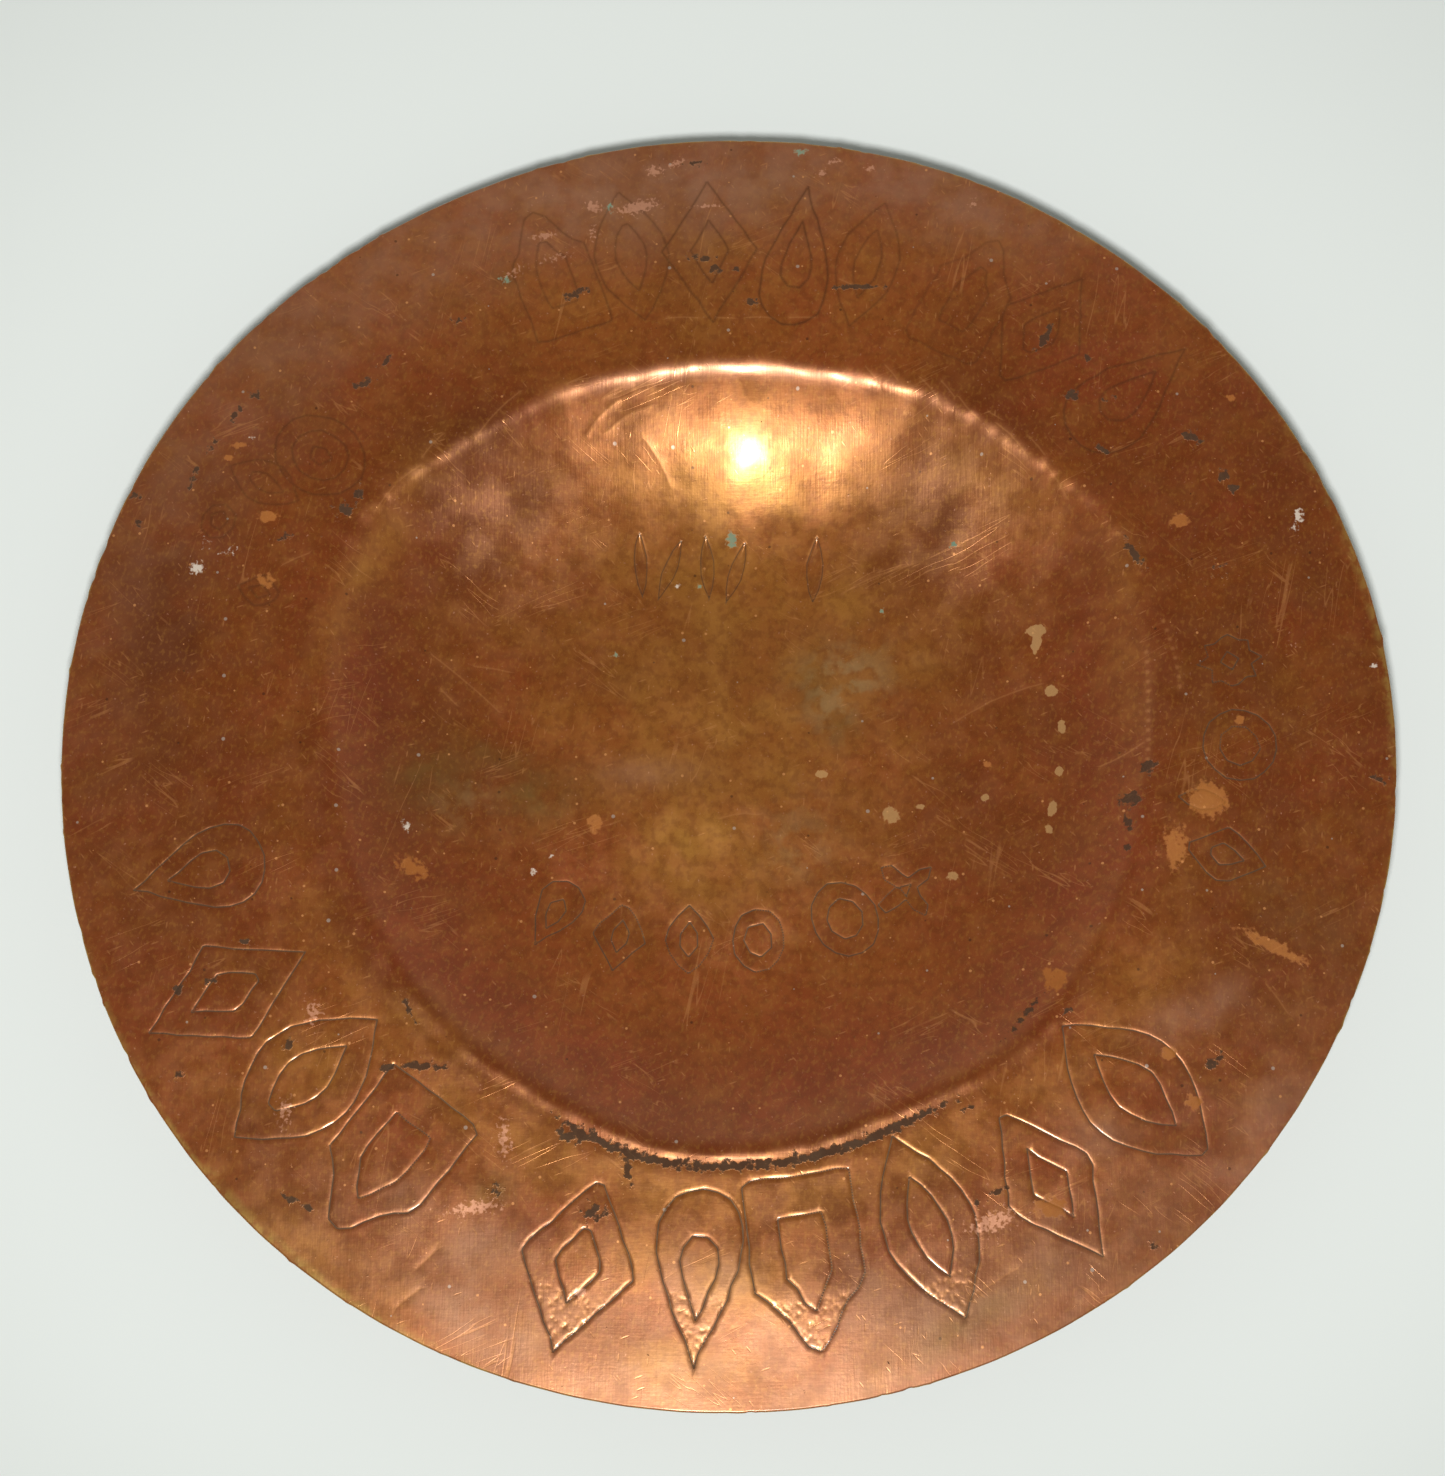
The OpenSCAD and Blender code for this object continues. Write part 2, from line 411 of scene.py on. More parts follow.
def hand_drawn(line, size, seed):
    """A line as a hand-held chasing tool follows it, in short runs that wander a little."""
    pick = np.random.default_rng(seed)
    walk = resample(line, TOOL_RUN)
    walk = walk + pick.normal(0, size, walk.shape)
    if np.allclose(line[0], line[-1]):
        walk[-1] = walk[0]
    return resample(walk, LINE_STEP)


class Work:
    """All the chased work: lines and their depths, bands between outlines, cuts, scratches and blows.

    Every line has a seed of its own, so that a change to one leaves the others as they are."""

    def __init__(self):
        self.lines = []
        self.bands = []
        self.cuts = []
        self.scratches = [hand_drawn(bowed(*ends), 0.05, 7000 + k) for k, ends in enumerate(SCRATCHES)]
        self.blows = []
        for number, (kind, angle, radius, width, height, depth) in enumerate(RIM_MOTIFS):
            self.add_motif(kind, polar(radius, angle), width, height, angle - 90, depth, 100 * number)
        for number, (kind, x, y, width, height, spin, depth) in enumerate(WELL_MOTIFS):
            self.add_motif(kind, np.array([x, y]), width, height, spin, depth, 5000 + 100 * number)
        for number, (x, y, width, height, spin) in enumerate(WELL_CUTS):
            outline = turned(leaf_line(width / 2, height / 2), spin) + (x, y)
            self.cuts.append(hand_drawn(outline, 0.08, 9000 + number))
        for row in BLOW_ROWS:
            for x, y in resample(bowed(*row), BLOW_GAP):
                self.blows.append((x, y, *LIP_BLOW))
        self.stipple()

    def add_motif(self, kind, centre, width, height, spin, depth, seed):
        outlines = []
        for part, outline in enumerate(MOTIFS[kind]):
            shape = turned(outline * (width / 2, height / 2), spin) + centre
            outlines.append(hand_drawn(shape, 0.15, seed + part))
            self.lines.append((outlines[-1], depth))
        if len(outlines) > 1 and depth > FAINT_DEPTH:
            self.bands.append((outlines[0], outlines[1]))

    def stipple(self):
        """Small blows that fill the outer end of a few bands."""
        pick = np.random.default_rng(SEED + 7)
        for angle, share in STIPPLED:
            number = next(k for k, motif in enumerate(RIM_MOTIFS) if motif[1] == angle)
            _, _, radius, width, height, _ = RIM_MOTIFS[number]
            band = self.bands[number]
            u = pick.uniform(-width / 2, width / 2, STIPPLE_TRIES)
            v = height * (0.5 - share * pick.uniform(0, 1, STIPPLE_TRIES))
            spots = turned(np.stack([u, v], 1), angle - 90) + polar(radius, angle)
            x, y = spots.T
            keep = inside_outline(x, y, band[0]) & ~inside_outline(x, y, band[1])
            self.blows += [(a, b, *STIPPLE_BLOW) for a, b in spots[keep]]


def close_to(x, y, cx, cy, reach):
    """The numbers of the points that lie in a small diamond about a place."""
    return np.nonzero(np.abs(x - cx) + np.abs(y - cy) < reach)[0]


def distance_to_line(x, y, line):
    """Distance of each point to a line of points, and FAR where it is well away."""
    distance = np.full(x.shape, FAR)
    low, high = line.min(0) - 2.5, line.max(0) + 2.5
    near = np.nonzero((x > low[0]) & (x < high[0]) & (y > low[1]) & (y < high[1]))[0]
    p = np.stack([x[near], y[near]], 1)
    best = np.full(len(near), FAR)
    for a, b in zip(line[:-1], line[1:]):
        run = b - a
        t = np.clip(((p - a) @ run) / max(run @ run, 1e-12), 0, 1)
        best = np.minimum(best, np.hypot(*(p - a - t[:, None] * run).T))
    distance[near] = best
    return distance


def inside_outline(x, y, line):
    """True for each point inside a closed outline."""
    within = np.zeros(x.shape, bool)
    for (ax, ay), (bx, by) in zip(line[:-1], line[1:]):
        crosses = (ay > y) != (by > y)
        edge_x = ax + (y - ay) / (by - ay if by != ay else 1e-9) * (bx - ax)
        within ^= crosses & (x < edge_x)
    return within


# ---------------------------------------------------------------- the beaten surface
# Where the lip of the well strays from its circle: how far out, at what angle, over what angle.
LIP_BULGES = [(6.5, 27, 22), (8.0, 152, 22), (-2.1, 92, 24), (1.2, -95, 14), (-1.0, -70, 10)]


def crest_radius(phi):
    """Distance from the well's axis to the crest of its lip, which bulges at the two upper quarters."""
    reach = WELL_R - 0.9
    for out, angle, width in LIP_BULGES:
        reach = reach + out * bell(angle_gap(phi, angle), width)
    return reach + 0.5 * np.sin(np.radians(7 * phi + 40)) + 0.35 * np.sin(np.radians(13 * phi))


def section_height(r):
    """Height of the CAD's section above the floor of the well, at a distance from the well's axis."""
    wall_end = FLOOR_R + WALL_BEND * math.sin(WALL_SLOPE)
    wall = WALL_BEND - np.sqrt(WALL_BEND**2 - (np.clip(r, FLOOR_R, wall_end) - FLOOR_R) ** 2)
    lip = LIP_BEND - np.sqrt(LIP_BEND**2 - (WELL_R - np.clip(r, wall_end, WELL_R)) ** 2)
    return np.where(r < wall_end, wall, DEPTH - lip)


broad_waves = waves(14, 70, 0.14, SEED + 1)
floor_waves = waves(22, 30, 0.075, SEED + 2)
lip_waves = waves(30, 14, 0.07, SEED + 3)

# How much deeper the upper half of the well is beaten than the lower.
UPPER_BOWL = 1.2
# Numbers of hammer marks, of narrow marks across the lip, and of nicks in the cut edge
HAMMER_MARKS = 520
LIP_MARKS = 150
NICKS = 70
# Soft dents and bulges that show in the light: x, y, half-length, half-width, turn, height.
DENTS = [
    (6, 68, 28, 34, 0, -2.0), (3, 43, 18, 20, 0, -1.5), (4, 20, 26, 30, 0, -1.2),
    (6, 78, 12, 14, 0, -0.30), (-11, 77, 6, 11, 0, -0.22), (-20, 80, 7, 12, 0, -0.45),
    (-42, 64, 8, 8, 30, -0.16), (0, 12, 22, 14, 0, 0.25), (-6, -12, 14, 13, 0, 0.55),
    (38, 30, 14, 9, 20, 0.16), (-52, -10, 12, 20, 0, 0.25), (50, -15, 12, 18, 0, -0.2),
    (30, -12, 14, 8, 10, -0.16), (-28, 20, 12, 9, -20, -0.14), (-60, 32, 4, 24, -14, 0.30),
]


def hammer_marks(x, y):
    """Overlapping shallow marks of a planishing hammer, deeper on the well than on the rim."""
    pick = np.random.default_rng(SEED + 4)
    height = np.zeros_like(x)
    for _ in range(HAMMER_MARKS):
        radius = DISC_R * math.sqrt(pick.uniform(0, 1))
        way = pick.uniform(0, 2 * math.pi)
        cx, cy = radius * math.cos(way), radius * math.sin(way)
        width = pick.uniform(5.0, 9.5)
        strength = 1.0 if math.hypot(cx - WELL_X, cy) < WELL_R else 0.6
        depth = strength * pick.uniform(0.02, 0.055)
        near = close_to(x, y, cx, cy, 3.5 * width)
        height[near] -= depth * bell(np.hypot(x[near] - cx, y[near] - cy), width)
    return height


def lip_marks(x, y):
    """Narrow marks across the lip, from the edge of a cross-peen hammer, thickest at the upper right."""
    pick = np.random.default_rng(SEED + 5)
    height = np.zeros_like(x)
    for number in range(LIP_MARKS):
        phi = pick.uniform(35, 75) if number % 2 else pick.uniform(-180, 180)
        reach = float(crest_radius(np.array(phi))) - pick.uniform(0, 7)
        cx, cy = polar(reach, phi) + (WELL_X, 0)
        way = math.radians(phi + pick.normal(0, 14))
        depth = pick.uniform(0.02, 0.06)
        half_long, half_wide = pick.uniform(2.2, 4.5), pick.uniform(0.7, 1.2)
        near = close_to(x, y, cx, cy, 14)
        dx, dy = x[near] - cx, y[near] - cy
        along = dx * math.cos(way) + dy * math.sin(way)
        across = -dx * math.sin(way) + dy * math.cos(way)
        height[near] -= depth * bell(along, half_long) * bell(across, half_wide)
    return height


def edge_shift(angle):
    """How far the hand-cut edge strays from the true circle: long waves and short snips of the shears."""
    a = np.radians(angle)
    slow = 0.22 * np.sin(2 * a + 0.6) + 0.18 * np.sin(3 * a + 2.1) + 0.14 * np.sin(5 * a + 0.4)
    lean = 0.35 * bell(angle_gap(angle, 55), 16) - 0.45 * bell(angle_gap(angle, 120), 14)
    snips = 0.12 * np.abs(((angle * 0.21 + 0.7 * np.sin(3 * a)) % 1.0) - 0.5)
    return slow + lean + snips


def edge_nicks(angle):
    """Small burrs and nicks along the raw edge."""
    pick = np.random.default_rng(SEED + 6)
    shift = np.zeros_like(angle)
    for _ in range(NICKS):
        at = pick.uniform(-180, 180)
        width = pick.uniform(0.18, 0.55)
        shift += pick.choice([-1.0, 1.0]) * pick.uniform(0.08, 0.30) * bell(angle_gap(angle, at), width)
    return shift


def rim_lift(x, y):
    """Slow waves of the rim, which was never flattened quite true."""
    radius = np.hypot(x, y)
    a = np.arctan2(y, x)
    reach = smooth((radius - WELL_R) / (DISC_R - WELL_R))
    lift = 0.6 * np.sin(2 * a + 0.5) + 0.4 * np.sin(3 * a - 0.9) + 0.25 * np.sin(5 * a + 1.0)
    angle = np.degrees(a)
    humps = 0.5 * bell(angle_gap(angle, 42), 24) + 0.8 * bell(angle_gap(angle, 140), 24)
    low_rise = 0.8 * bell(angle_gap(angle, -92), 36) * smooth((radius - WELL_R) / 30)
    return reach * (lift + humps - 0.6 * bell(angle_gap(angle, 92), 16)) + low_rise


def sheet_height(x, y):
    """Height of the upper face of the beaten sheet above the well's floor, with no chasing on it."""
    from_axis = np.hypot(x - WELL_X, y)
    phi = np.degrees(np.arctan2(y, x - WELL_X))
    r = from_axis * WELL_R / crest_radius(phi)
    z = section_height(r) + rim_lift(x, y)
    z -= UPPER_BOWL * smooth((80 - r) / 42) * smooth((y + 20) / 60)
    inside = smooth((WELL_R + 4 - r) / 14)
    z += inside * floor_waves(x, y) + broad_waves(x, y)
    z += bell(r - (WELL_R - 3), 7) * lip_waves(x, y)
    for *shape, height in DENTS:
        z += height * np.exp(-oval(x, y, *shape))
    # A low bead along the near side of the lip, with a trough outside it
    low_lip = bell(angle_gap(phi, -92), 62)
    z += low_lip * (0.16 * bell(r - (WELL_R - 2.2), 2.4) - 0.24 * bell(r - (WELL_R + 1.2), 1.4))
    z += hammer_marks(x, y) + lip_marks(x, y)
    return z


# ---------------------------------------------------------------- points of the mesh
class PointStore:
    """Points in plan. A new one is kept only if it is far enough from those before it."""

    def __init__(self, cell):
        self.cell = cell
        self.grid = {}
        self.points = []

    def free(self, x, y, gap):
        i, j = int(x // self.cell), int(y // self.cell)
        reach = int(gap // self.cell) + 1
        for a in range(i - reach, i + reach + 1):
            for b in range(j - reach, j + reach + 1):
                for px, py in self.grid.get((a, b), ()):
                    if (px - x) ** 2 + (py - y) ** 2 < gap * gap:
                        return False
        return True

    def add(self, x, y, gap):
        if gap > 0 and not self.free(x, y, gap):
            return
        self.grid.setdefault((int(x // self.cell), int(y // self.cell)), []).append((x, y))
        self.points.append((x, y))

    def add_all(self, spots, gap):
        for x, y in spots:
            if math.hypot(x, y) < DISC_R - BORDER:
                self.add(x, y, gap)

    def add_beside(self, lines, offsets, step, gap):
        """Adds points beside each line, at each offset to its left."""
        for line in lines:
            for offset in offsets:
                self.add_all(beside(line, offset, step), gap)


def add_rings(store, step, lip_step):
    """Rings about the well's axis, closer together over its lip, each shifted half a step from the last."""
    radius, number = 0.0, 0
    while radius < DISC_R + abs(WELL_X):
        close = float(bell(radius - (WELL_R - 3), 8))
        here = step + (lip_step - step) * close
        count = max(1, int(round(2 * math.pi * radius / here)))
        a = 2 * math.pi * (np.arange(count) + 0.5 * (number % 2)) / count
        ring = np.stack([WELL_X + radius * np.cos(a), radius * np.sin(a)], 1)
        store.add_all(ring, 0.55 * here)
        radius += here * math.sqrt(3) / 2
        number += 1


def beside(line, offset, step):
    """Points beside a line, at an offset to its left."""
    walk = resample(line, step)
    along = np.gradient(walk, axis=0)
    side = np.stack([-along[:, 1], along[:, 0]], 1) / np.hypot(*along.T)[:, None].clip(1e-9)
    return walk + offset * side


def oval_lattice(cx, cy, half_long, half_wide, spin):
    """A triangular lattice of points over a small patch and a little round it."""
    step = max(0.6, PATCH_SHARE * half_wide)
    rows = int(1.5 * half_wide / (0.87 * step)) + 1
    columns = int(1.5 * half_long / step) + 1
    spots = []
    for j in range(-rows, rows + 1):
        for i in range(-columns, columns + 1):
            spots.append((step * (i + 0.5 * (j % 2)), 0.87 * step * j))
    return turned(np.array(spots), spin) + (cx, cy)


def edge_ring(radius, count, shift=0.0):
    a = 2 * math.pi * (np.arange(count) + shift) / count
    return np.stack([radius * np.cos(a), radius * np.sin(a)], 1)


def face_points(work, edge_count):
    """Points of the upper face: the cut edge, then chased work and small marks, then rings between them."""
    store = PointStore(0.6)
    for radius, shift in ((DISC_R - BEVEL, 0.0), (DISC_R - BEVEL - 0.35, 0.5)):
        for x, y in edge_ring(radius, edge_count, shift):
            store.add(x, y, 0)
    chased = [line for line, _ in work.lines]
    for line in chased + work.cuts + work.scratches:
        store.add_all(line, 0.3)
    store.add_beside(chased, (0.25, -0.25, 0.55, -0.55), LINE_STEP, 0.21)
    store.add_beside(work.scratches, (0.3, -0.3), LINE_STEP, 0.21)
    store.add_beside(work.cuts, (0.3, -0.3, 0.7, -0.7), LINE_STEP, 0.21)
    ring = edge_ring(1.0, 6)
    for x, y, size, _ in work.blows:
        store.add_all(np.concatenate([[(0, 0)], 0.6 * size * ring, 1.4 * size * ring]) + (x, y), 0.24)
    store.add_beside(chased, (1.15, -1.15), 2 * LINE_STEP, 0.5)
    for name, spots in PATCHES.items():
        for cx, cy, half_long, half_wide, spin, _ in spots:
            if name not in HIDDEN_MARKS and min(half_long, half_wide) < SMALL_PATCH:
                store.add_all(oval_lattice(cx, cy, half_long, half_wide, spin), 0.5)
    add_rings(store, TOP_STEP, LIP_STEP)
    return np.array(store.points)


def back_points(work, edge_count):
    """Points of the underside, where only the deeper chased lines show, as soft ridges."""
    store = PointStore(1.0)
    for x, y in edge_ring(DISC_R - BEVEL, edge_count):
        store.add(x, y, 0)
    deep = [line for line, depth in work.lines if depth > RIDGE_DEPTH]
    store.add_beside(deep, (0.0, 0.9, -0.9), 1.6, 0.8)
    add_rings(store, BACK_STEP, BACK_LIP_STEP)
    return np.array(store.points)


def triangles(points):
    """The triangles between points in plan, anticlockwise."""
    verts = [Vector((float(x), float(y))) for x, y in points]
    _, _, faces, origins, _, _ = delaunay_2d_cdt(verts, [], [], 0, 1e-7)
    first = [group[0] for group in origins]
    tris = np.array([[first[i] for i in face] for face in faces])
    a, b, c = (points[tris[:, k]] for k in range(3))
    area = (b[:, 0] - a[:, 0]) * (c[:, 1] - a[:, 1]) - (b[:, 1] - a[:, 1]) * (c[:, 0] - a[:, 0])
    tris[area < 0] = tris[area < 0][:, ::-1]
    return tris


def warp(points):
    """Moves points near the rim with the hand-cut edge."""
    radius = np.hypot(*points.T)
    angle = np.degrees(np.arctan2(points[:, 1], points[:, 0]))
    shift = edge_shift(angle) * smooth((radius - (DISC_R - 9)) / 9)
    shift = shift + edge_nicks(angle) * bell(DISC_R - radius, 0.8)
    return points * (1 + shift / np.maximum(radius, 1))[:, None]


def chase(x, y, work):
    """How far the chased work sinks the upper face at each point, and the marks that it leaves there."""
    sink, groove, faint, band, wear_and_glints = (np.zeros_like(x) for _ in range(5))
    for number, (line, depth) in enumerate(work.lines):
        d = distance_to_line(x, y, line)
        blow = 1 + 0.25 * np.sin(0.9 * x + 1.3 * y + number)
        sink = np.maximum(sink, 0.7 * depth * blow * bell(d, 0.27))
        sink = sink - 0.08 * depth * bell(d - 0.7, 0.26)
        if depth > FAINT_DEPTH:
            groove = np.maximum(groove, bell(d, 0.27))
        else:
            faint = np.maximum(faint, depth / FAINT_DEPTH * bell(d, 0.30))
    # Scratches and blows are marked brighter: bared copper, partly painted glints.
    for line in work.scratches:
        d = distance_to_line(x, y, line)
        sink = sink + 0.03 * bell(d, 0.24)
        wear_and_glints = np.maximum(wear_and_glints, 0.5 * bell(d, 0.24))
    for outer, inner in work.bands:
        near = distance_to_line(x, y, outer) < FAR
        within = inside_outline(x[near], y[near], outer) & ~inside_outline(x[near], y[near], inner)
        band[near] = np.maximum(band[near], within)
    for line in work.cuts:
        d = distance_to_line(x, y, line)
        signed = np.where(inside_outline(x, y, line), d, -d)
        sink = sink + 0.42 * smooth((signed + 0.15) / 0.6) - 0.08 * bell(signed + 0.5, 0.3)
        groove = np.maximum(groove, 0.8 * bell(signed, 0.3))
        band = np.maximum(band, smooth(signed / 0.3))
    for cx, cy, size, depth in work.blows:
        near = close_to(x, y, cx, cy, 4 * size)
        dent = bell(np.hypot(x[near] - cx, y[near] - cy), size)
        sink[near] += depth * dent
        wear_and_glints[near] = np.maximum(wear_and_glints[near], 0.6 * dent)
    return sink, {"groove": groove, "faint": faint, "band": band, "wear_and_glints": wear_and_glints}


def back_height(x, y, work_ridge):
    """Height of the underside: the upper face, less the sheet's thickness measured square to it."""
    step = 0.5
    slope_x = (sheet_height(x + step, y) - sheet_height(x - step, y)) / (2 * step)
    slope_y = (sheet_height(x, y + step) - sheet_height(x, y - step)) / (2 * step)
    return sheet_height(x, y) + SHEET - SHEET * np.sqrt(1 + slope_x**2 + slope_y**2) - work_ridge


def back_ridges(x, y, work):
    """How far the deeper chased lines push the underside down."""
    ridge = np.zeros_like(x)
    for line, depth in work.lines:
        if depth > RIDGE_DEPTH:
            ridge = np.maximum(ridge, 0.45 * depth * bell(distance_to_line(x, y, line), 0.9))
    return ridge


def build_mesh():
    """The whole sheet as one closed mesh: upper face, underside and the cut edge between them."""
    work = Work()
    edge_count = int(round(2 * math.pi * DISC_R / EDGE_STEP))
    face_plan = face_points(work, edge_count)
    back_plan = back_points(work, edge_count)
    face_tris = triangles(face_plan)
    back_tris = triangles(back_plan)[:, ::-1]
    face_xy, back_xy = warp(face_plan), warp(back_plan)
    sink, marks = chase(*face_plan.T, work)
    face_z = sheet_height(*face_xy.T) + SHEET - sink
    back_z = back_height(*back_xy.T, back_ridges(*back_plan.T, work))

    # Two rows of points go round the cut edge, each a bevel's depth from one face.
    rim_xy = warp(edge_ring(DISC_R, edge_count))
    upper = np.column_stack([rim_xy, face_z[:edge_count] - BEVEL])
    lower = np.column_stack([rim_xy, back_z[:edge_count] + BEVEL])
    face, back = np.column_stack([face_xy, face_z]), np.column_stack([back_xy, back_z])
    points = np.concatenate([face, back, upper, lower])
    points[:, 2] -= points[:, 2].min()

    n_face, n_back = len(face_plan), len(back_plan)
    k = np.arange(edge_count)
    rows = [k, n_face + n_back + k, n_face + n_back + edge_count + k, n_face + k]
    quads = []
    for high, low in zip(rows[:-1], rows[1:]):
        quads.append(np.stack([np.roll(high, -1), high, low, np.roll(low, -1)], 1))
    faces = face_tris.tolist() + (back_tris + n_face).tolist() + np.concatenate(quads).tolist()
    mesh = bpy.data.meshes.new("tray_sheet")
    mesh.from_pydata((points * MM).tolist(), [], faces)
    mesh.polygons.foreach_set("use_smooth", [True] * len(mesh.polygons))

    order = np.arange(len(points))
    on_edge = order >= n_face + n_back
    above = (order < n_face) | (on_edge & (order < n_face + n_back + edge_count))
    rest = np.zeros(len(points) - n_face)
    marks = {name: np.concatenate([value, rest]) for name, value in marks.items()}
    marks["under"] = np.where(above, 0.0, 1.0)
    add_age(marks, points, order < n_face, on_edge)
    for name, value in marks.items():
        layer = mesh.attributes.new(name, "FLOAT", "POINT")
        layer.data.foreach_set("value", value.astype(np.float32))
    return mesh


def add_age(marks, points, on_face, on_edge):
    """The marks at each point: the patches, partly painted shade, glow and glints, and what follows the lip
    and the edge, with painted shade on the well's wall and a painted highlight on the lip's crest.
    """
    for name, spots in PATCHES.items():
        marks[name] = np.where(on_face, spread(points[:, 0], points[:, 1], spots), 0.0)
    radius = np.hypot(points[:, 0], points[:, 1])
    phi = np.degrees(np.arctan2(points[:, 1], points[:, 0] - WELL_X))
    from_axis = np.hypot(points[:, 0] - WELL_X, points[:, 1])
    from_crest = from_axis * WELL_R / crest_radius(phi) - WELL_R
    low_lip = smooth((34 - np.abs(angle_gap(phi, -88))) / 16)
    marks["crust"] = np.maximum(marks["crust"], on_face * 1.05 * low_lip * bell(from_crest - 1.7, 1.2))
    hazy = bell(angle_gap(phi, 116), 50) + bell(angle_gap(phi, -80), 42)
    marks["haze"] = np.maximum(marks["haze"], on_face * 0.7 * hazy * bell(DISC_R - 6 - radius, 20))
    # A golden band over the near side of the rim.
    low_rim = bell(from_crest - 9, 8) * bell(angle_gap(phi, -90), 66)
    marks["gold_and_painted_glow"] = np.maximum(marks["gold_and_painted_glow"], on_face * 0.55 * low_rim)
    # Darker along the lip on the left and on the near side.
    left_lip = bell(from_crest, 7) * bell(angle_gap(phi, 202), 58)
    low_lip_dull = bell(from_crest + 1, 4) * bell(angle_gap(phi, -80), 60)
    marks["umber_and_painted_shade"] = np.maximum(marks["umber_and_painted_shade"], on_face * np.minimum(left_lip + low_lip_dull, 1.0))
    # A darker, redder band on the well's wall, left off on the far side: painted shade over redder patina.
    marks["wall"] = on_face * bell(from_crest + 13, 11) * (1 - bell(angle_gap(phi, 90), 62))
    # A pinkish band along the far side of the lip's crest: a painted highlight.
    marks["crest"] = on_face * bell(from_crest + 3.8, 1.6) * bell(angle_gap(phi, 92), 24)
    marks["edge_wear"] = np.where(on_edge, 1.0, 0.5 * bell(DISC_R - radius, 0.25))


# ---------------------------------------------------------------- the copper's material
def linear(hex_colour):
    """A colour written as six hex digits, as the linear numbers that shaders take."""
    parts = [int(hex_colour[i : i + 2], 16) / 255 for i in (0, 2, 4)]
    return (*(v / 12.92 if v <= 0.04045 else ((v + 0.055) / 1.055) ** 2.4 for v in parts), 1.0)


# The crest colour is a painted highlight, the wall colour painted shade over redder patina, bright partly
# painted glints, and the umber, gold and bare colours partly painted shade, glow and glints.
HEX_COLOURS = {
    "brown": "90471a", "umber_and_painted_shade": "6a3010", "wall": "70290e", "red": "903a1e", "gold_and_painted_glow": "b27832",
    "olive": "664e1e", "sage": "a8885a", "haze": "a87a60", "bare_and_glints": "dc9c7c", "bright": "e29a5e",
    "crust": "30160f", "ochre": "a05c1a", "drip": "a27c4c", "verdigris": "5c8a78", "salt": "c8bcae",
    "groove": "2c1610", "crest": "c8947c", "faint_groove": "4e2a16", "back": "5c3a26", "edge": "b89a4c",
}
COLOURS = {name: linear(digits) for name, digits in HEX_COLOURS.items()}


